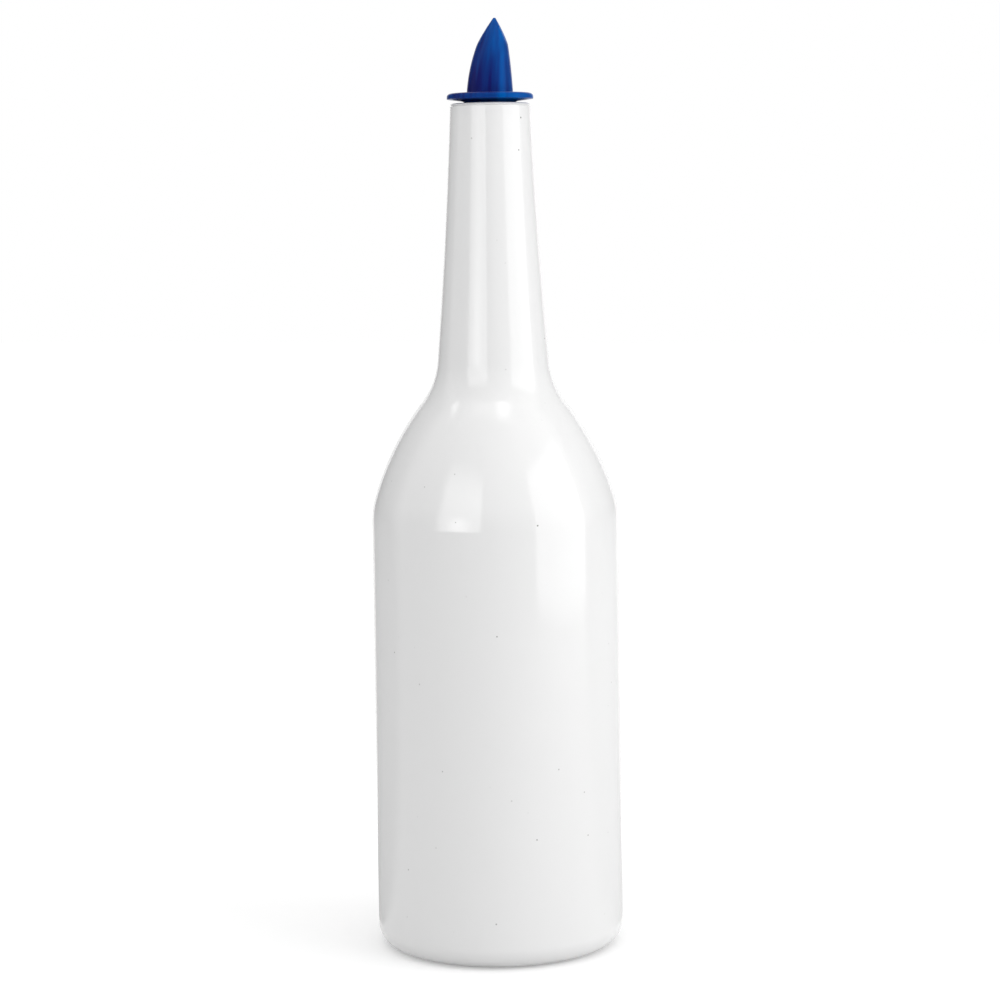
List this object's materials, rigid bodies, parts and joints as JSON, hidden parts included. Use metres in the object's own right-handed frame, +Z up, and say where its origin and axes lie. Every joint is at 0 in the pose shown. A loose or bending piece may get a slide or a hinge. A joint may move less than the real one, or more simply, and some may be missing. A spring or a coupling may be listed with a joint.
{
  "type": "flair bottle",
  "caption": "White plastic practice bottle with a long tapered neck and a blue push-in pourer that lifts out and turns.",
  "frame": {"origin": "centre of the foot, on the surface that the bottle stands on", "axes": "+Z up along the neck's axis, +Y the way the spout leans and its mouth opens, +X to the right of a viewer who stands behind the spout and looks along +Y"},
  "size_m": [0.08, 0.08, 0.2997],
  "materials": {
    "white_plastic": "glossy white blow-moulded plastic",
    "blue_plastic": "semi-gloss blue injection-moulded plastic",
    "black_soft_plastic": "soft black plastic, matt",
    "clear_plastic": "clear extruded plastic"
  },
  "bodies": {
    "bottle": {"bottle_shell": "white_plastic"},
    "stopper": {"pourer_stopper": "black_soft_plastic"},
    "spout": {"pourer_spout": "blue_plastic", "breather_tube": "clear_plastic"}
  },
  "joints": [
    {"name": "stopper_pull", "type": "slide", "parent": "bottle", "child": "stopper", "axis": [0, 0, 1], "range_m": [0, 0.05]},
    {"name": "spout_turn", "type": "hinge", "parent": "stopper", "child": "spout", "pos_m": [0, 0, 0.27235], "axis": [0, 0, 1], "continuous": true}
  ]
}
